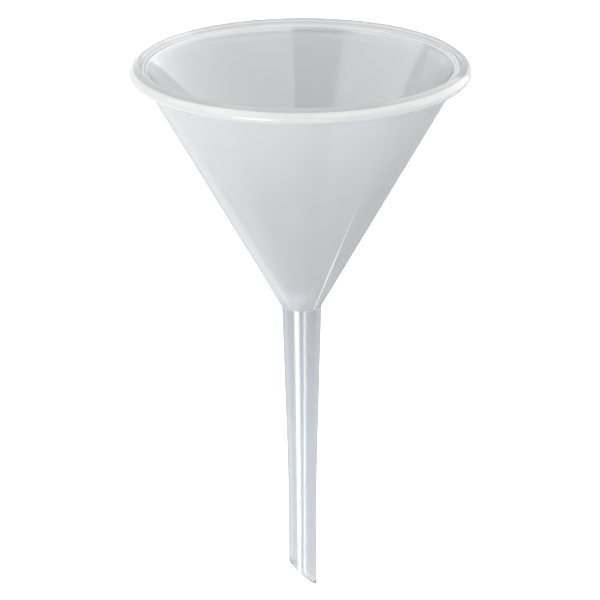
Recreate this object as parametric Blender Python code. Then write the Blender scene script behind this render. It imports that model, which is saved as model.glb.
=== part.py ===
"""Laboratory funnel, moulded in one piece from polypropylene.

The moulding is divided at its natural regions into a rim, a cone, a stem and three air ribs, which meet
face to face. Units are metres and +Z is up. The origin is on the axis, level with the stem's lowest point.
"""

from math import cos, pi, radians, sin, tan

import bmesh
import bpy
from mathutils import Matrix, Vector

MM = 0.001

# Driving dimensions
RIM_RADIUS = 50.0 * MM
TOTAL_HEIGHT = 160.8 * MM
HALF_CONE = radians(30)
WALL = 2.45 * MM  # cone wall, square to its surface
STEM_WALL = 1.2 * MM
CREASE_HEIGHT = 86.57 * MM  # where the outside of the cone meets the stem
CREASE_RADIUS = 5.85 * MM
THROAT_RADIUS = 4.5 * MM
TIP_RADIUS = 4.1 * MM
TIP_BEVEL = radians(42)  # slope of the tip's cut, from level

# Rim: depths below its crest. Its outer side is widest at WIDEST_DROP, and rounds off above and below that
RIM_DEPTH = 4.6 * MM
WIDEST_DROP = 3.0 * MM
SHOULDER_ROUND = 2.4 * MM
SHOULDER_SLOPE = 49  # degrees from straight out at which the shoulder's round gives way to a flat slope
CREST_RADIUS = 47.6 * MM
CREST_LAND = 0.45 * MM
GROOVE_RADIUS = 46.75 * MM
GROOVE_DROP = 2.05 * MM
LEDGE_RADIUS = 46.3 * MM
LEDGE_DROP = 1.5 * MM
MOUTH_DROP = 1.7 * MM
RIM_SKIRT = 0.8 * MM  # length of cone wall below the underside that belongs to the rim

# Stem outline: a straight taper, an easing curve, then a plain tube down to the tip
EASE_TOP_HEIGHT = 46.0 * MM
EASE_TOP_RADIUS = 4.56 * MM
TUBE_HEIGHT = 15.0 * MM
EASE_STEPS = 6

# Air ribs, on the outside of the cone above the crease
RIB_COUNT = 3
RIB_WIDTH = 0.48 * MM
RIB_TOP_HEIGHT = 129.0 * MM
RIB_FOOT_RISE = 0.3 * MM  # how far it stands off the cone at the crease
RIB_WAIST_RISE = 0.1 * MM  # and RIB_WAIST_UP above the crease
RIB_WAIST_UP = 11.0 * MM
RIB_TOP_RISE = 0.06 * MM
RIB_CREST_SHARE = 0.6  # width of the crest as a share of the base
FIRST_RIB_ANGLE = radians(-52.5)

SEGMENTS = 72  # round a full turn; a rib stands on the flat of one segment
ARC_STEPS = 4
CUTTER_REACH = 8 * TIP_RADIUS
SMOOTH_ANGLE = radians(25)

PP_COLOUR = (0.83, 0.86, 0.88, 1.0)
PP_ROUGHNESS = 0.3
PP_IOR = 1.49

UNDERSIDE_HEIGHT = TOTAL_HEIGHT - RIM_DEPTH
RIM_BASE_HEIGHT = UNDERSIDE_HEIGHT - RIM_SKIRT
APEX_HEIGHT = CREASE_HEIGHT - CREASE_RADIUS / tan(HALF_CONE)


def outer_radius(height):
    """Outside of the cone at a height."""
    return (height - APEX_HEIGHT) * tan(HALF_CONE)


def inner_radius(height):
    """Inside of the cone at a height."""
    return outer_radius(height) - WALL / cos(HALF_CONE)


def arc(centre, radius, start, end, steps):
    """Points of an arc in the (radius, height) plane, with angles in degrees from straight out."""
    angles = [radians(start + (end - start) * i / steps) for i in range(steps + 1)]
    return [(centre[0] + radius * cos(a), centre[1] + radius * sin(a)) for a in angles]


def rim_profile():
    """Closed outline of the rim, from the foot of its inner wall, over the bead and under it, to the cone."""
    widest_height = TOTAL_HEIGHT - WIDEST_DROP
    under_round = RIM_DEPTH - WIDEST_DROP
    mouth_height = TOTAL_HEIGHT - MOUTH_DROP
    return [
        (inner_radius(RIM_BASE_HEIGHT), RIM_BASE_HEIGHT),
        (inner_radius(mouth_height), mouth_height),
        (LEDGE_RADIUS, TOTAL_HEIGHT - LEDGE_DROP),
        (GROOVE_RADIUS, TOTAL_HEIGHT - GROOVE_DROP),
        (CREST_RADIUS - CREST_LAND, TOTAL_HEIGHT),
        (CREST_RADIUS, TOTAL_HEIGHT),
        *arc((RIM_RADIUS - SHOULDER_ROUND, widest_height), SHOULDER_ROUND, SHOULDER_SLOPE, 0, ARC_STEPS),
        *arc((RIM_RADIUS - under_round, widest_height), under_round, 0, -90, ARC_STEPS)[1:],
        (outer_radius(UNDERSIDE_HEIGHT), UNDERSIDE_HEIGHT),
        (outer_radius(RIM_BASE_HEIGHT), RIM_BASE_HEIGHT),
    ]


def cone_profile():
    """Closed outline of the cone wall, with the short bore that joins it to the stem."""
    throat_height = APEX_HEIGHT + (THROAT_RADIUS + WALL / cos(HALF_CONE)) / tan(HALF_CONE)
    return [
        (THROAT_RADIUS, CREASE_HEIGHT),
        (THROAT_RADIUS, throat_height),
        (inner_radius(RIM_BASE_HEIGHT), RIM_BASE_HEIGHT),
        (outer_radius(RIM_BASE_HEIGHT), RIM_BASE_HEIGHT),
        (CREASE_RADIUS, CREASE_HEIGHT),
    ]


def stem_outline():
    """(radius, height) down the outside of the stem."""
    points = [(CREASE_RADIUS, CREASE_HEIGHT)]
    for i in range(EASE_STEPS + 1):
        share = 1 - i / EASE_STEPS
        height = TUBE_HEIGHT + (EASE_TOP_HEIGHT - TUBE_HEIGHT) * share
        points.append((TIP_RADIUS + (EASE_TOP_RADIUS - TIP_RADIUS) * share**2, height))
    return points


def stem_profile():
    """Closed outline of the stem. It runs a little past the tip, for the slanted cut."""
    outside = stem_outline()
    end = -TIP_RADIUS
    bore = [(radius - STEM_WALL, height) for radius, height in outside[1:]]
    return [
        (THROAT_RADIUS, CREASE_HEIGHT),
        *outside,
        (TIP_RADIUS, end),
        (TIP_RADIUS - STEM_WALL, end),
        *reversed(bore),
    ]


def polypropylene(name):
    """Natural polypropylene: milky, pale and satin."""
    material = bpy.data.materials.new(name)
    material.use_nodes = True
    shader = material.node_tree.nodes["Principled BSDF"]
    shader.inputs["Base Color"].default_value = PP_COLOUR
    shader.inputs["Roughness"].default_value = PP_ROUGHNESS
    shader.inputs["Metallic"].default_value = 0.0
    shader.inputs["IOR"].default_value = PP_IOR
    material.diffuse_color = PP_COLOUR
    return material


def add_object(name, work, material=None):
    """Makes an object from a bmesh, facing outwards, and frees the bmesh."""
    bmesh.ops.recalc_face_normals(work, faces=work.faces)
    mesh = bpy.data.meshes.new(name)
    work.to_mesh(mesh)
    work.free()
    if material:
        mesh.materials.append(material)
    mesh.shade_smooth()
    mesh.set_sharp_from_angle(angle=SMOOTH_ANGLE)
    part = bpy.data.objects.new(name, mesh)
    bpy.context.scene.collection.objects.link(part)
    return part


def turned(name, profile, material):
    """A ring made by spinning a closed outline once round the Z axis."""
    work = bmesh.new()
    corners = [work.verts.new((radius, 0, height)) for radius, height in profile]
    edges = [work.edges.new((a, b)) for a, b in zip(corners, corners[1:] + corners[:1])]
    bmesh.ops.spin(
        work,
        geom=corners + edges,
        cent=(0, 0, 0),
        axis=(0, 0, 1),
        angle=2 * pi,
        steps=SEGMENTS,
        use_merge=True,
    )
    return add_object(name, work, material)


def tip_cutter():
    """Block whose sloping top face takes the tip off, highest on the -X side."""
    work = bmesh.new()
    bmesh.ops.create_cube(work, size=CUTTER_REACH)
    tilt = Matrix.Rotation(TIP_BEVEL, 4, "Y")
    corner = Vector((TIP_RADIUS, 0, 0))
    top_to_centre = tilt @ Vector((0, 0, -CUTTER_REACH / 2))
    bmesh.ops.transform(work, matrix=Matrix.Translation(corner + top_to_centre) @ tilt, verts=work.verts)
    cutter = add_object("tip_cutter", work)
    cutter.hide_render = True
    cutter.display_type = "WIRE"
    return cutter


def cut(part, cutter):
    """Takes the cutter's shape away from the part."""
    boolean = part.modifiers.new("slanted_tip", "BOOLEAN")
    boolean.operation = "DIFFERENCE"
    boolean.solver = "EXACT"
    boolean.object = cutter


def rib_section(height, rise, chord_radius):
    """Four corners of a cross-section of a rib at +X. It stands on the flat of one segment."""
    half_base = RIB_WIDTH / 2
    half_crest = half_base * RIB_CREST_SHARE
    out = Vector((cos(HALF_CONE), 0, -sin(HALF_CONE))) * rise
    foot = Vector((chord_radius, 0, height))
    return [
        foot + Vector((0, -half_base, 0)),
        foot + Vector((0, half_base, 0)),
        foot + out + Vector((0, half_crest, 0)),
        foot + out + Vector((0, -half_crest, 0)),
    ]


def air_rib(name, angle, material):
    """A fine rib up the outside of the cone. It stands highest at its foot and fades upwards."""
    flat_share = cos(pi / SEGMENTS)  # the middle of a segment's flat is this much nearer the axis
    levels = (
        (CREASE_HEIGHT + RIB_FOOT_RISE * sin(HALF_CONE), RIB_FOOT_RISE),
        (CREASE_HEIGHT + RIB_WAIST_UP, RIB_WAIST_RISE),
        (RIB_TOP_HEIGHT, RIB_TOP_RISE),
    )
    work = bmesh.new()
    rings = []
    for height, rise in levels:
        section = rib_section(height, rise, outer_radius(height) * flat_share)
        rings.append([work.verts.new(point) for point in section])
    work.faces.new(rings[0])
    work.faces.new(rings[-1])
    for lower, upper in zip(rings, rings[1:]):
        for i in range(len(lower)):
            j = (i + 1) % len(lower)
            work.faces.new((lower[i], lower[j], upper[j], upper[i]))
    bmesh.ops.rotate(work, matrix=Matrix.Rotation(angle, 3, "Z"), verts=work.verts)
    return add_object(name, work, material)


def clear_scene():
    for leftover in list(bpy.data.objects):
        bpy.data.objects.remove(leftover)


def build():
    clear_scene()
    plastic = polypropylene("polypropylene")
    turned("rim", rim_profile(), plastic)
    turned("cone", cone_profile(), plastic)
    stem = turned("stem", stem_profile(), plastic)
    cut(stem, tip_cutter())
    for i in range(RIB_COUNT):
        air_rib(f"air_rib_{i + 1}", FIRST_RIB_ANGLE + 2 * pi * i / RIB_COUNT, plastic)


build()
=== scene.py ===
"""Looks for the laboratory funnel: one moulding of milky, translucent polypropylene.

The CAD nodes give the places and overall sizes, and details such as walls and rim steps have the CAD's
sizes, with small rounds added. Three finely turned solids stand for the nodes: the rim, the cone with its
air ribs, and the stem. They meet in flat rings that let light straight through, so that they look like the
single moulding that the real funnel is.
"""

from math import atan2, cos, pi, radians, sin, tan

import bmesh
import bpy
from mathutils import Matrix, Vector


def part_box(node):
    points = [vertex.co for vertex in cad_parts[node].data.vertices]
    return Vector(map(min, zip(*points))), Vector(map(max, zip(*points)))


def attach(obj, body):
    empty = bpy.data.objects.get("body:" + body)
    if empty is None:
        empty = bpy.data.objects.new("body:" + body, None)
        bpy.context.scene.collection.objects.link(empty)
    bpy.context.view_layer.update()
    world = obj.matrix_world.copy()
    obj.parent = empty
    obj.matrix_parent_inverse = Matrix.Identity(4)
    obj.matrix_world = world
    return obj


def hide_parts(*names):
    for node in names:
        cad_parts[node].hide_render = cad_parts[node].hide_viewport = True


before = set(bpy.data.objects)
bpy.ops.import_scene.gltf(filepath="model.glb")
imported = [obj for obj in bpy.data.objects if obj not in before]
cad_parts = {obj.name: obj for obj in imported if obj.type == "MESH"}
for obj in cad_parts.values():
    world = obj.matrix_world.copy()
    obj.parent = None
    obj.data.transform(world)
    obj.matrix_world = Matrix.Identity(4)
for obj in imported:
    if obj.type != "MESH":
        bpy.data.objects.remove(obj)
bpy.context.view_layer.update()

MM = 0.001

# Places and sizes from the CAD nodes
RIM_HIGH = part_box("rim")[1]
CONE_LOW, CONE_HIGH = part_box("cone")
RIM_RADIUS = RIM_HIGH.x
TOP = RIM_HIGH.z
CREASE_HEIGHT = CONE_LOW.z
CREASE_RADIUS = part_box("stem")[1].x
SLOPE = (CONE_HIGH.x - CREASE_RADIUS) / (CONE_HIGH.z - CREASE_HEIGHT)  # radius gained for each unit of height
HALF_CONE = atan2(SLOPE, 1)
RIB_NODES = sorted(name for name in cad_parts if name.startswith("air_rib"))
RIB_TOP_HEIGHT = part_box(RIB_NODES[0])[1].z

# Wall
WALL = 2.45 * MM  # square to the cone's surface
INSET = WALL / cos(HALF_CONE)  # the same wall, measured level
STEM_WALL = 1.2 * MM
THROAT_RADIUS = 4.5 * MM
THROAT_HEIGHT = CREASE_HEIGHT + (THROAT_RADIUS + INSET - CREASE_RADIUS) / SLOPE  # where the bore starts
THROAT_ROUND = 0.5 * MM
CREASE_ROUND = 0.9 * MM

# Rim. A drop is a depth below the crest, and a round is the radius of a rounded corner
UNDERSIDE_DROP = 4.6 * MM
UNDERSIDE_ROUND = 0.3 * MM
WIDEST_DROP = 3.0 * MM
SHOULDER_ROUND = 2.4 * MM
SHOULDER_SLOPE = 49  # degrees from straight out at which the shoulder's round gives way to a flat slope
CREST_RADIUS = 47.6 * MM
CREST_LAND = 0.45 * MM
CREST_OUTER_ROUND = 0.5 * MM
CREST_INNER_ROUND = 0.2 * MM
GROOVE_RADIUS = 46.75 * MM
GROOVE_DROP = 2.05 * MM
GROOVE_ROUND = 0.12 * MM
LEDGE_RADIUS = 46.3 * MM
LEDGE_DROP = 1.5 * MM
LEDGE_ROUND = 0.25 * MM
MOUTH_DROP = 1.7 * MM
MOUTH_ROUND = 0.25 * MM
UNDERSIDE_HEIGHT = TOP - UNDERSIDE_DROP
WIDEST_HEIGHT = TOP - WIDEST_DROP

# Stem: a straight taper, a parabola, then a plain tube down to the slanted tip
TIP_RADIUS = 4.1 * MM
TIP_BEVEL = radians(42)
TIP_ROUND = 0.18 * MM
EASE_TOP_HEIGHT = 46.0 * MM
EASE_TOP_RADIUS = 4.56 * MM
TUBE_HEIGHT = 15.0 * MM

# Where the three solids meet, on straight stretches clear of the rounds
RIM_JOIN = CONE_HIGH.z
STEM_JOIN = CREASE_HEIGHT - 0.45 * MM

# Air ribs on the outside of the cone
FIRST_RIB_ANGLE = radians(-52.5)
RIB_ANGLES = [FIRST_RIB_ANGLE + 2 * pi * i / len(RIB_NODES) for i in range(len(RIB_NODES))]
RIB_HALF_WIDTH = 0.36 * MM  # at its foot. Its sides are soft: half way up it is about as wide as in the CAD
RIB_STATIONS = (  # height, and how far the rib stands off the cone there
    (CREASE_HEIGHT - 0.25 * MM, 0.0),
    (CREASE_HEIGHT + 0.3 * MM, 0.3 * MM),
    (CREASE_HEIGHT + 11.0 * MM, 0.1 * MM),
    (RIB_TOP_HEIGHT - 4.0 * MM, 0.06 * MM),
    (RIB_TOP_HEIGHT, 0.0),
)
FAN = radians(8)  # half the width of the fan of columns that closes up towards a rib
FAN_GATHERED = 0.6  # share of the fan that ends up on the rib itself
FAN_STATIONS = (  # height, and how far the fan is closed there
    (STEM_JOIN, 0.0),
    (CREASE_HEIGHT - 0.28 * MM, 1.0),
    (RIB_TOP_HEIGHT + 2.0 * MM, 1.0),
    (RIM_JOIN, 0.0),
)

# Fineness of the meshes
COLUMN_ANGLES = [FIRST_RIB_ANGLE + radians(i) for i in range(360)]  # some run up the crests of the ribs
RING_STEP = 1.5 * MM  # about the length of a quad on a straight stretch
ROUND_STEPS = 8
BEAD_STEPS = 16
SMOOTH_ANGLE = radians(40)

OUTSIDE, INSIDE, JOIN = range(3)  # material slots


# Outlines, in the (radius, height) plane


def outer_radius(height):
    return CREASE_RADIUS + (height - CREASE_HEIGHT) * SLOPE


def inner_radius(height):
    return outer_radius(height) - INSET


def stem_radius(height):
    if height >= EASE_TOP_HEIGHT:
        share = (height - EASE_TOP_HEIGHT) / (CREASE_HEIGHT - EASE_TOP_HEIGHT)
        return EASE_TOP_RADIUS + (CREASE_RADIUS - EASE_TOP_RADIUS) * share
    share = max(0.0, height - TUBE_HEIGHT) / (EASE_TOP_HEIGHT - TUBE_HEIGHT)
    return TIP_RADIUS + (EASE_TOP_RADIUS - TIP_RADIUS) * share**2


def bore_radius(height):
    """The bore narrows from the throat over the straight taper, then keeps an even wall."""
    if height >= EASE_TOP_HEIGHT:
        share = (height - EASE_TOP_HEIGHT) / (CREASE_HEIGHT - EASE_TOP_HEIGHT)
        narrow = EASE_TOP_RADIUS - STEM_WALL
        return narrow + (THROAT_RADIUS - narrow) * share
    return stem_radius(height) - STEM_WALL


def arc(centre, radius, start, end, steps):
    """Corners along an arc, with angles in degrees from straight out."""
    angles = [radians(start + (end - start) * i / steps) for i in range(steps + 1)]
    return [(centre[0] + radius * cos(a), centre[1] + radius * sin(a), 0) for a in angles]


def rounded(corners):
    """A path through corners (radius, height, round), with an arc of that round in place of each corner."""
    path = []
    for i, (r, z, fillet) in enumerate(corners):
        here = Vector((r, z))
        if fillet == 0:
            path.append(here)
            continue
        before = (Vector(corners[i - 1][:2]) - here).normalized()
        after = (Vector(corners[i + 1][:2]) - here).normalized()
        half = before.angle(after) / 2
        centre = here + (before + after).normalized() * (fillet / sin(half))
        start = here + before * (fillet / tan(half)) - centre
        end = here + after * (fillet / tan(half)) - centre
        turn = atan2(start.x * end.y - start.y * end.x, start.dot(end))
        for k in range(ROUND_STEPS + 1):
            path.append(centre + Matrix.Rotation(turn * k / ROUND_STEPS, 2) @ start)
    return path


def divided(path):
    """The same path, with its long straight stretches cut up."""
    out = path[:1]
    for a, b in zip(path, path[1:]):
        pieces = max(1, round((b - a).length / RING_STEP))
        out += [a.lerp(b, k / pieces) for k in range(1, pieces + 1)]
    return out


def rim_outside():
    """From the middle of the crest, over the bead and under it, down to the join."""
    under = UNDERSIDE_DROP - WIDEST_DROP
    shoulder = (RIM_RADIUS - SHOULDER_ROUND, WIDEST_HEIGHT)
    return rounded([
        (CREST_RADIUS - CREST_LAND / 2, TOP, 0),
        (CREST_RADIUS, TOP, CREST_OUTER_ROUND),
        *arc(shoulder, SHOULDER_ROUND, SHOULDER_SLOPE, 0, BEAD_STEPS),
        *arc((RIM_RADIUS - under, WIDEST_HEIGHT), under, 0, -90, BEAD_STEPS)[1:],
        (outer_radius(UNDERSIDE_HEIGHT), UNDERSIDE_HEIGHT, UNDERSIDE_ROUND),
        (outer_radius(RIM_JOIN), RIM_JOIN, 0),
    ])


def rim_inside():
    """From the middle of the crest, through the groove and over the ledge and mouth, down to the join."""
    return rounded([
        (CREST_RADIUS - CREST_LAND / 2, TOP, 0),
        (CREST_RADIUS - CREST_LAND, TOP, CREST_INNER_ROUND),
        (GROOVE_RADIUS, TOP - GROOVE_DROP, GROOVE_ROUND),
        (LEDGE_RADIUS, TOP - LEDGE_DROP, LEDGE_ROUND),
        (inner_radius(TOP - MOUTH_DROP), TOP - MOUTH_DROP, MOUTH_ROUND),
        (inner_radius(RIM_JOIN), RIM_JOIN, 0),
    ])


def cone_outside():
    return divided(rounded([
        (outer_radius(RIM_JOIN), RIM_JOIN, 0),
        (CREASE_RADIUS, CREASE_HEIGHT, CREASE_ROUND),
        (stem_radius(STEM_JOIN), STEM_JOIN, 0),
    ]))


def cone_inside():
    return divided(rounded([
        (inner_radius(RIM_JOIN), RIM_JOIN, 0),
        (THROAT_RADIUS, THROAT_HEIGHT, THROAT_ROUND),
        (bore_radius(STEM_JOIN), STEM_JOIN, 0),
    ]))


def stem_section(angle):
    """The wall of the stem at one azimuth: down the outside, across the slanted cut and up the bore."""
    def cut_height(radius):
        return (TIP_RADIUS - radius * cos(angle)) * tan(TIP_BEVEL)

    steps = round((STEM_JOIN - TUBE_HEIGHT) / RING_STEP)
    heights = [STEM_JOIN + (TUBE_HEIGHT - STEM_JOIN) * i / steps for i in range(steps + 1)]
    bore = TIP_RADIUS - STEM_WALL
    return rounded([
        *[(stem_radius(z), z, 0) for z in heights],
        (TIP_RADIUS, cut_height(TIP_RADIUS), TIP_ROUND),
        (bore, cut_height(bore), TIP_ROUND),
        *[(bore_radius(z), z, 0) for z in reversed(heights)],
    ])


# Solids


def around(path, angle):
    """The points of a path, turned to an azimuth."""
    return [Vector((p.x * cos(angle), p.x * sin(angle), p.y)) for p in path]


def between(value, stations):
    """Straight-line value between (place, value) stations, and level beyond the ends."""
    if value <= stations[0][0]:
        return stations[0][1]
    for (a, low), (b, high) in zip(stations, stations[1:]):
        if value <= b:
            return low + (high - low) * (value - a) / (b - a)
    return stations[-1][1]


def gathered(offset, foot):
    """Angle from a rib at which a column stands where the fan is fully closed. foot is the rib's half width
    as an angle."""
    if abs(offset) >= FAN:
        return offset
    edge = FAN_GATHERED * FAN
    return between(offset, ((-FAN, -FAN), (-edge, -foot), (edge, foot), (FAN, FAN)))


def ribbed(path, angle):
    """The outside of the cone at one column. Near a rib the columns close up onto it, and swell into a
    smooth ridge of even width."""
    turn = 2 * pi / len(RIB_ANGLES)
    offset = (angle - FIRST_RIB_ANGLE + turn / 2) % turn - turn / 2
    rib = angle - offset
    points = []
    for p in path:
        foot = RIB_HALF_WIDTH / p.x
        aside = offset + (gathered(offset, foot) - offset) * between(p.y, FAN_STATIONS)
        across = min(1.0, abs(aside) / foot)
        rise = between(p.y, RIB_STATIONS) * cos(pi / 2 * across) ** 2
        radius = p.x + rise * cos(HALF_CONE)
        height = p.y - rise * sin(HALF_CONE)
        points.append(Vector((radius * cos(rib + aside), radius * sin(rib + aside), height)))
    return points


def solid(name, sections, slots):
    """A closed turned solid. Each section is a loop of points, and slots says which material slot each side
    of the loop has, as (number of sides, slot) pairs."""
    work = bmesh.new()
    grid = [[work.verts.new(point) for point in section] for section in sections]
    materials = [slot for count, slot in slots for _ in range(count)]
    for here, there in zip(grid, grid[1:] + grid[:1]):
        for k, material in enumerate(materials):
            following = (k + 1) % len(materials)
            face = work.faces.new((here[k], here[following], there[following], there[k]))
            face.smooth = True
            face.material_index = material
    bmesh.ops.recalc_face_normals(work, faces=work.faces)
    mesh = bpy.data.meshes.new(name)
    work.to_mesh(mesh)
    work.free()
    mesh.set_sharp_from_angle(angle=SMOOTH_ANGLE)
    piece = bpy.data.objects.new(name, mesh)
    bpy.context.scene.collection.objects.link(piece)
    return piece


def make_rim():
    """The rim. The plain wall below its mouth, a single side of the loop, has the look of the inside."""
    outside, inside = rim_outside(), rim_inside()
    loop = outside + inside[:0:-1]
    slots = ((len(outside) - 1, OUTSIDE), (1, JOIN), (1, INSIDE), (len(inside) - 2, OUTSIDE))
    return solid("funnel_rim", [around(loop, a) for a in COLUMN_ANGLES], slots)


def make_cone():
    outside, inside = cone_outside(), cone_inside()[::-1]
    sections = [ribbed(outside, a) + around(inside, a) for a in COLUMN_ANGLES]
    slots = ((len(outside) - 1, OUTSIDE), (1, JOIN), (len(inside) - 1, INSIDE), (1, JOIN))
    return solid("funnel_cone", sections, slots)


def make_stem():
    sections = [around(stem_section(a), a) for a in COLUMN_ANGLES]
    sides = len(sections[0])
    outside = sides // 2
    slots = ((outside, OUTSIDE), (sides - outside - 1, INSIDE), (1, JOIN))
    return solid("funnel_stem", sections, slots)


# Nodes


def empty_tree(owner):
    """The node tree of a material or world, emptied."""
    owner.use_nodes = True
    owner.node_tree.nodes.clear()
    return owner.node_tree


def node(tree, kind, inputs=None, **settings):
    """A new node. Each input is set to a number or colour, or linked to a socket."""
    made = tree.nodes.new(kind)
    for key, value in settings.items():
        setattr(made, key, value)
    for key, source in (inputs or {}).items():
        if isinstance(source, bpy.types.NodeSocket):
            tree.links.new(source, made.inputs[key])
        else:
            made.inputs[key].default_value = source
    return made


def result(tree, kind, inputs=None, **settings):
    """The first output of a new node."""
    return node(tree, kind, inputs, **settings).outputs[0]


def maths(tree, operation, *values):
    return result(tree, "ShaderNodeMath", dict(enumerate(values)), operation=operation)


def ramp(tree, value, low, high, to_low, to_high, smooth=False):
    kind = "SMOOTHSTEP" if smooth else "LINEAR"
    inputs = {"Value": value, "From Min": low, "From Max": high, "To Min": to_low, "To Max": to_high}
    return result(tree, "ShaderNodeMapRange", inputs, interpolation_type=kind)


def profile(tree, value, stations):
    """The node version of between()."""
    total = stations[0][1]
    for (a, low), (b, high) in zip(stations, stations[1:]):
        if high != low:
            total = maths(tree, "ADD", total, ramp(tree, value, a, b, 0.0, high - low))
    return total


def noise(tree, vector, scale, detail):
    return result(tree, "ShaderNodeTexNoise", {"Vector": vector, "Scale": scale, "Detail": detail})


def colour(tree, red, green, blue):
    return result(tree, "ShaderNodeCombineColor", {0: red, 1: green, 2: blue})


def mixed(tree, share, first, second):
    """Two shaders, with that share of the second."""
    return result(tree, "ShaderNodeMixShader", {0: share, 1: first, 2: second})


# Plastic. Part of the light is scattered at the surface, the rest passes, and a little is mirrored

IOR = 1.49
HAZE = 0.02  # roughness of what passes
TINT = (0.98, 1.005, 1.032)  # of what passes
BACK_SHARE = 0.5  # share of the scattered light that goes on through
RIB_BACK_SHARE = 0.1
CLOUD_SCALE = 40.0
CLOUD_DETAIL = 3.0
CLOUD_LOW, CLOUD_HIGH = 0.3, 0.7  # the range that most of the cloud noise is in
CLOUD_MILK = 0.01  # how much the clouds vary the veil, up and down
SMOOTH_GLOSS, DULL_GLOSS = 0.07, 0.1  # roughness of the mirror image, at the ends of the clouds' range
RIB_ROUGHER = 0.3
GRAIN_SCALE = 700.0
GRAIN_DETAIL = 2.0
GRAIN_STRENGTH = 0.05
GRAIN_DEPTH = 0.02 * MM
RIB_MILK = 0.95  # share of the light that a rib's crest scatters
RIB_CREST, RIB_SIDE = 0.22 * MM, 0.46 * MM  # how far from a rib's middle its look starts to fade, and is gone
CUT_MILK = 0.8  # share of the light that the slanted cut scatters
CUT_DARKER = 0.4
CUT_BAND, CUT_FADE = 0.4 * MM, 1.4 * MM  # how far above the cut its look starts to fade, and is gone
EDGE_START, EDGE_FULL = 0.45, 0.9  # how far the surface is turned away, from 0 facing the eye to 1 edge on

# Each of these tables is (place, value), level beyond its ends
RIB_FADE = (  # by height
    (CREASE_HEIGHT - 0.3 * MM, 0.0),
    (CREASE_HEIGHT, 1.0),
    (RIB_TOP_HEIGHT - 30 * MM, 0.9),
    (RIB_TOP_HEIGHT, 0.0),
)
RIB_SHADE_AND_HIGHLIGHT = (  # by height: painted shade and painted highlight along each rib: how much paler than the cone a rib is, or darker where negative
    (CREASE_HEIGHT, -0.45),
    (CREASE_HEIGHT + 15 * MM, -0.1),
    (RIB_TOP_HEIGHT, 0.5),
)
CLARITY = (  # by height: share of the light that isn't scattered which comes through
    (0.0, 0.85),
    (EASE_TOP_HEIGHT, 0.82),
    (CREASE_HEIGHT, 0.73),
    (CREASE_HEIGHT + 5 * MM, 0.76),
    (UNDERSIDE_HEIGHT, 0.76),
    (WIDEST_HEIGHT, 0.97),
)
LOSS_SHARE = (  # by height: how much there is of the loss at the outline
    (CREASE_HEIGHT - 1 * MM, 0.4),
    (CREASE_HEIGHT + 1 * MM, 1.0),
    (UNDERSIDE_HEIGHT, 1.0),
    (WIDEST_HEIGHT, 0.0),
)
RING_TOP = (  # by height: the painted rings below are on the rim's top only
    (TOP - 2.4 * MM, 0.0),
    (TOP - 2.2 * MM, 1.0),
)
RING_SHADE_AND_HIGHLIGHT = (  # by radius: rings of painted shade and painted highlight on the rim's top: how much darker than the bead, or paler where negative
    (44.75 * MM, 0.0),
    (44.85 * MM, -0.1),  # edge of the mouth
    (45.05 * MM, -0.1),
    (45.25 * MM, 0.1),  # middle of the ledge
    (45.8 * MM, 0.1),
    (45.95 * MM, -0.15),  # outer edge of the ledge, down into the groove
    (46.6 * MM, -0.15),
    (46.8 * MM, 0.05),  # bottom of the groove
    (46.94 * MM, 0.05),
    (46.98 * MM, -0.1),  # fine line below the crest
    (47.06 * MM, -0.1),
    (47.1 * MM, 0.05),
    (47.3 * MM, 0.18),  # crest and shoulder
    (48.85 * MM, 0.24),
    (49.05 * MM, 0.0),
)
OUTSIDE_VEIL = (  # by height: share of the light that is scattered
    (0.0, 0.3),
    (CREASE_HEIGHT - 0.6 * MM, 0.3),
    (CREASE_HEIGHT, 0.45),
    (CREASE_HEIGHT + 0.8 * MM, 0.5),
    (TOP - 35 * MM, 0.48),
    (UNDERSIDE_HEIGHT - 0.1 * MM, 0.55),
    (UNDERSIDE_HEIGHT, 0.93),
)
OUTSIDE_WHITENESS = (  # by height: brightness of the scattered light
    (UNDERSIDE_HEIGHT - 0.1 * MM, 0.9),
    (UNDERSIDE_HEIGHT, 0.74),
)
OUTSIDE_LOSS = 0.7  # share of the passing light that is lost at the cone's outline
# by height: share of the light that is scattered; full at the throat, for the painted highlight ring there
INSIDE_VEIL = (
    (0.0, 0.1),
    (THROAT_HEIGHT - 0.8 * MM, 0.1),
    (THROAT_HEIGHT - 0.3 * MM, 1.0),
    (THROAT_HEIGHT + 0.2 * MM, 1.0),
    (THROAT_HEIGHT + 0.7 * MM, 0.75),
)
# by height: brightness of the scattered light; the peak above 1 at the throat is a painted highlight, a light
# ring where the cone meets the bore
INSIDE_WHITENESS_AND_THROAT_HIGHLIGHT = (
    (THROAT_HEIGHT - 0.3 * MM, 1.1),
    (THROAT_HEIGHT + 0.2 * MM, 1.1),
    (THROAT_HEIGHT + 0.7 * MM, 0.54),
    (UNDERSIDE_HEIGHT - 0.8 * MM, 0.54),
    (TOP - MOUTH_DROP, 0.6),
)
INSIDE_LOSS = 0.0


def distance_from_axis(tree, place):
    level = result(tree, "ShaderNodeVectorMath", {0: place, 1: (1, 1, 0)}, operation="MULTIPLY")
    return node(tree, "ShaderNodeVectorMath", {0: level}, operation="LENGTH").outputs["Value"]


def rib_line(tree, x, y, height, radius):
    """1 along the crest of each air rib, fading up the cone."""
    angle = maths(tree, "ARCTAN2", y, x)
    aside = maths(tree, "PINGPONG", maths(tree, "SUBTRACT", angle, FIRST_RIB_ANGLE), pi / len(RIB_ANGLES))
    across = ramp(tree, maths(tree, "MULTIPLY", aside, radius), RIB_CREST, RIB_SIDE, 1.0, 0.0, smooth=True)
    return maths(tree, "MULTIPLY", across, profile(tree, height, RIB_FADE))


def tip_cut(tree, x, height):
    """CUT_MILK on the slanted cut, fading up from it."""
    slant = maths(tree, "MULTIPLY", maths(tree, "SUBTRACT", TIP_RADIUS, x), tan(TIP_BEVEL))
    return ramp(tree, maths(tree, "SUBTRACT", height, slant), CUT_BAND, CUT_FADE, CUT_MILK, 0.0)


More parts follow.
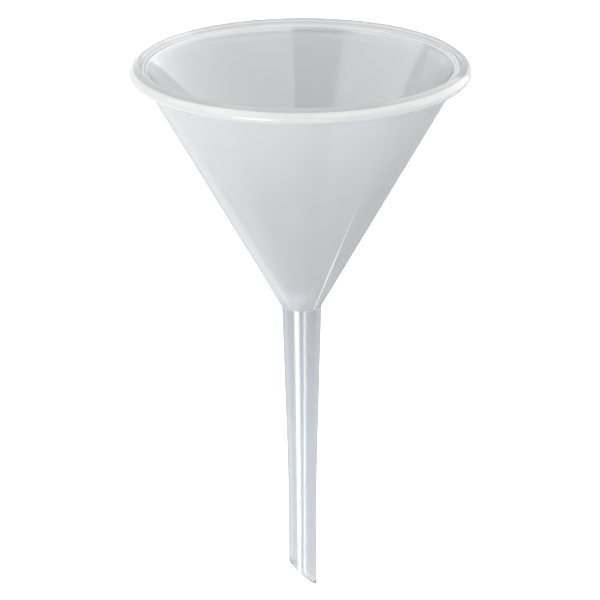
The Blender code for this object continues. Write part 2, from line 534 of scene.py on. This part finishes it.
def milkiness(tree, height, veil, cloud, rib, cut):
    """Share of the light that is scattered. Met from within the plastic, only the ribs and the cut do it."""
    mottle = ramp(tree, cloud, CLOUD_LOW, CLOUD_HIGH, -CLOUD_MILK, CLOUD_MILK)
    milk = maths(tree, "ADD", profile(tree, height, veil), mottle)
    outward = maths(tree, "SUBTRACT", 1.0, node(tree, "ShaderNodeNewGeometry").outputs["Backfacing"])
    milk = maths(tree, "MULTIPLY", milk, outward)
    milk = maths(tree, "MAXIMUM", milk, maths(tree, "MULTIPLY", rib, RIB_MILK))
    return maths(tree, "MAXIMUM", milk, cut)


def scattered_colour(tree, height, radius, whiteness, rib, cut):
    # rings of painted shade and painted highlight on the rim's top
    ring_shade_and_highlight = maths(tree, "MULTIPLY", profile(tree, height, RING_TOP), profile(tree, radius, RING_SHADE_AND_HIGHLIGHT))
    darker = maths(tree, "ADD", ring_shade_and_highlight, maths(tree, "MULTIPLY", cut, CUT_DARKER))
    pale = maths(tree, "SUBTRACT", profile(tree, height, whiteness), darker)
    # painted highlight along the ribs, and painted shade near their feet
    pale = maths(tree, "ADD", pale, maths(tree, "MULTIPLY", rib, profile(tree, height, RIB_SHADE_AND_HIGHLIGHT)))
    return colour(tree, pale, pale, pale)


def passing_colour(tree, height, normal, edge_loss):
    """Light that enters near the outline has a long way through the plastic, and comes out darker."""
    facing = node(tree, "ShaderNodeLayerWeight", {"Blend": 0.5, "Normal": normal}).outputs["Facing"]
    loss = maths(tree, "MULTIPLY", profile(tree, height, LOSS_SHARE), edge_loss)
    darker = maths(tree, "MULTIPLY", loss, ramp(tree, facing, EDGE_START, EDGE_FULL, 0.0, 1.0))
    kept = maths(tree, "SUBTRACT", 1.0, darker)
    clarity = maths(tree, "MULTIPLY", profile(tree, height, CLARITY), kept)
    return colour(tree, *[maths(tree, "MULTIPLY", clarity, channel) for channel in TINT])


def polypropylene(name, veil, whiteness, edge_loss):
    """Milky plastic, with tables by height for its veil and whiteness, and its loss at the outline."""
    material = bpy.data.materials.new(name)
    tree = empty_tree(material)
    place = node(tree, "ShaderNodeTexCoord").outputs["Object"]
    x, y, height = node(tree, "ShaderNodeSeparateXYZ", {0: place}).outputs
    radius = distance_from_axis(tree, place)
    cloud = noise(tree, place, CLOUD_SCALE, CLOUD_DETAIL)
    grain = noise(tree, place, GRAIN_SCALE, GRAIN_DETAIL)
    bump = {"Height": grain, "Strength": GRAIN_STRENGTH, "Distance": GRAIN_DEPTH}
    normal = result(tree, "ShaderNodeBump", bump)
    rib = rib_line(tree, x, y, height, radius)
    cut = tip_cut(tree, x, height)

    white = scattered_colour(tree, height, radius, whiteness, rib, cut)
    front = result(tree, "ShaderNodeBsdfDiffuse", {"Color": white, "Normal": normal})
    back = result(tree, "ShaderNodeBsdfTranslucent", {"Color": white, "Normal": normal})
    scattered = mixed(tree, ramp(tree, rib, 0.0, 1.0, BACK_SHARE, RIB_BACK_SHARE), front, back)

    tinted = passing_colour(tree, height, normal, edge_loss)
    refraction = {"Color": tinted, "Roughness": HAZE, "IOR": IOR, "Normal": normal}
    passing = result(tree, "ShaderNodeBsdfRefraction", refraction)
    body = mixed(tree, milkiness(tree, height, veil, cloud, rib, cut), passing, scattered)

    gloss = ramp(tree, cloud, CLOUD_LOW, CLOUD_HIGH, SMOOTH_GLOSS, DULL_GLOSS)
    gloss = maths(tree, "ADD", gloss, maths(tree, "MULTIPLY", rib, RIB_ROUGHER))
    mirrored = result(tree, "ShaderNodeBsdfAnisotropic", {"Roughness": gloss, "Normal": normal})
    share = result(tree, "ShaderNodeFresnel", {"IOR": IOR, "Normal": normal})
    node(tree, "ShaderNodeOutputMaterial", {"Surface": mixed(tree, share, body, mirrored)})
    return material


def clear_join():
    """For the flat rings inside the moulding, which the real one doesn't have: light passes unchanged."""
    material = bpy.data.materials.new("clear_join")
    tree = empty_tree(material)
    node(tree, "ShaderNodeOutputMaterial", {"Surface": result(tree, "ShaderNodeBsdfTransparent")})
    return material


def build():
    looks = (
        polypropylene("polypropylene_outside", OUTSIDE_VEIL, OUTSIDE_WHITENESS, OUTSIDE_LOSS),
        polypropylene("polypropylene_inside", INSIDE_VEIL, INSIDE_WHITENESS_AND_THROAT_HIGHLIGHT, INSIDE_LOSS),
        clear_join(),
    )
    pieces = (
        (make_rim(), ["rim"]),
        (make_cone(), ["cone", *RIB_NODES]),
        (make_stem(), ["stem"]),
    )
    for piece, nodes in pieces:
        for look in looks:
            piece.data.materials.append(look)
        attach(piece, "root")
        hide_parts(*nodes)


# Stage. Directions are degrees of azimuth, 0 on the camera's side and + to its right, and of elevation

ROOM_BELOW, ROOM_ABOVE = 1.0, 0.6  # strength of the even light from all round
ROOM_TURN = (-5, 15)  # elevations between which it changes
ROOM_LEFT, ROOM_RIGHT = 1.16, 0.92  # factors on that strength
ROOM_COLOUR = (0.97, 1.0, 1.03, 1)
BOX_COLOUR = (1.02, 1.0, 0.97, 1)
SOFT_BOXES = (
    # radiance, azimuth from, to, softness, elevation from, to, softness
    (13.5, -46, -18, 5, -27, -11, 4),  # key, at the front left and low
    (5.2, 10, 24, 5, -28, -10, 4),  # narrow, at the front right and low
    (2.0, 7, 83, 1.5, 15, 70, 5),  # front right, high
    (2.35, -110, -39, 5, 15, 70, 5),  # left, high
    (2.3, 83, 150, 1.5, -8, 60, 4),  # right, and round behind
    (0.7, -180, -118, 3, -5, 35, 6),  # behind at the left
    (0.4, -172, -98, 6, -75, -26, 5),  # behind at the left, from below
)
CARD_AZIMUTH = (120, 172, 8)  # a darker card behind at the right and low: from, to, softness
CARD_ELEVATION = (-75, -24, 5)
CARD_SHARE = 0.8  # of the even light that it leaves

FLOOR_SIZE = 60
FLOOR_COLOUR = (0.9, 0.9, 0.9, 1)
FLOOR_GLOW = 0.6

CAMERA_PITCH = radians(17.46)  # below level
CAMERA_ROLL = radians(-0.26)
CAMERA_DISTANCE = 3.0  # from AIM
CAMERA_LENS = 612.4  # mm, as is the next
SENSOR_WIDTH = 36
AIM = Vector((-0.5 * MM, 0, TOP - 72.7 * MM))


def window(tree, value, low, high, soft):
    """1 between two angles in degrees and 0 outside, with soft edges."""
    rise = ramp(tree, value, radians(low - soft), radians(low + soft), 0.0, 1.0, smooth=True)
    fall = ramp(tree, value, radians(high - soft), radians(high + soft), 1.0, 0.0, smooth=True)
    return maths(tree, "MULTIPLY", rise, fall)


def patch(tree, azimuth, elevation, across, up):
    """1 within ranges (from, to, softness) of azimuth and elevation, and 0 outside."""
    return maths(tree, "MULTIPLY", window(tree, azimuth, *across), window(tree, elevation, *up))


def room_light(tree, side, azimuth, elevation):
    """Strength of the even light. side is -1 at the left and 1 at the right."""
    start, end = [radians(angle) for angle in ROOM_TURN]
    room = ramp(tree, elevation, start, end, ROOM_BELOW, ROOM_ABOVE, smooth=True)
    room = maths(tree, "MULTIPLY", room, ramp(tree, side, -1.0, 1.0, ROOM_LEFT, ROOM_RIGHT))
    card = patch(tree, azimuth, elevation, CARD_AZIMUTH, CARD_ELEVATION)
    return maths(tree, "MULTIPLY", room, ramp(tree, card, 0.0, 1.0, 1.0, CARD_SHARE))


def box_light(tree, azimuth, elevation):
    """Strength of the soft boxes."""
    total = 0.0
    for radiance, *ranges in SOFT_BOXES:
        box = patch(tree, azimuth, elevation, ranges[:3], ranges[3:])
        total = maths(tree, "ADD", total, maths(tree, "MULTIPLY", box, radiance))
    return total


def studio_light():
    world = bpy.data.worlds.new("studio")
    bpy.context.scene.world = world
    tree = empty_tree(world)
    direction = node(tree, "ShaderNodeTexCoord").outputs["Generated"]
    x, y, z = node(tree, "ShaderNodeSeparateXYZ", {0: direction}).outputs
    azimuth = maths(tree, "ARCTAN2", x, maths(tree, "MULTIPLY", y, -1.0))
    elevation = maths(tree, "ARCSINE", z)
    room = {"Color": ROOM_COLOUR, "Strength": room_light(tree, x, azimuth, elevation)}
    boxes = {"Color": BOX_COLOUR, "Strength": box_light(tree, azimuth, elevation)}
    cool = result(tree, "ShaderNodeBackground", room)
    warm = result(tree, "ShaderNodeBackground", boxes)
    both = result(tree, "ShaderNodeAddShader", {0: cool, 1: warm})
    node(tree, "ShaderNodeOutputWorld", {"Surface": both})


def floor():
    """A plain pale floor. Only the camera sees it, so the light from below reaches the plastic evenly."""
    bpy.ops.mesh.primitive_plane_add(size=FLOOR_SIZE)
    plane = bpy.context.object
    plane.name = "floor"
    for ray in ("visible_diffuse", "visible_glossy", "visible_transmission", "visible_shadow"):
        setattr(plane, ray, False)
    material = bpy.data.materials.new("pale_floor")
    tree = empty_tree(material)
    paper = result(tree, "ShaderNodeBsdfDiffuse", {"Color": FLOOR_COLOUR})
    glow = result(tree, "ShaderNodeEmission", {"Strength": FLOOR_GLOW})
    both = result(tree, "ShaderNodeAddShader", {0: paper, 1: glow})
    node(tree, "ShaderNodeOutputMaterial", {"Surface": both})
    plane.data.materials.append(material)


def camera():
    data = bpy.data.cameras.new("camera")
    data.lens = CAMERA_LENS
    data.sensor_width = SENSOR_WIDTH
    eye = bpy.data.objects.new("camera", data)
    turn = Matrix.Rotation(pi / 2 - CAMERA_PITCH, 4, "X") @ Matrix.Rotation(CAMERA_ROLL, 4, "Z")
    eye.matrix_world = Matrix.Translation(AIM) @ turn @ Matrix.Translation((0, 0, CAMERA_DISTANCE))
    bpy.context.scene.collection.objects.link(eye)
    bpy.context.scene.camera = eye


build()
studio_light()
floor()
camera()
bpy.context.scene.view_settings.view_transform = "Standard"
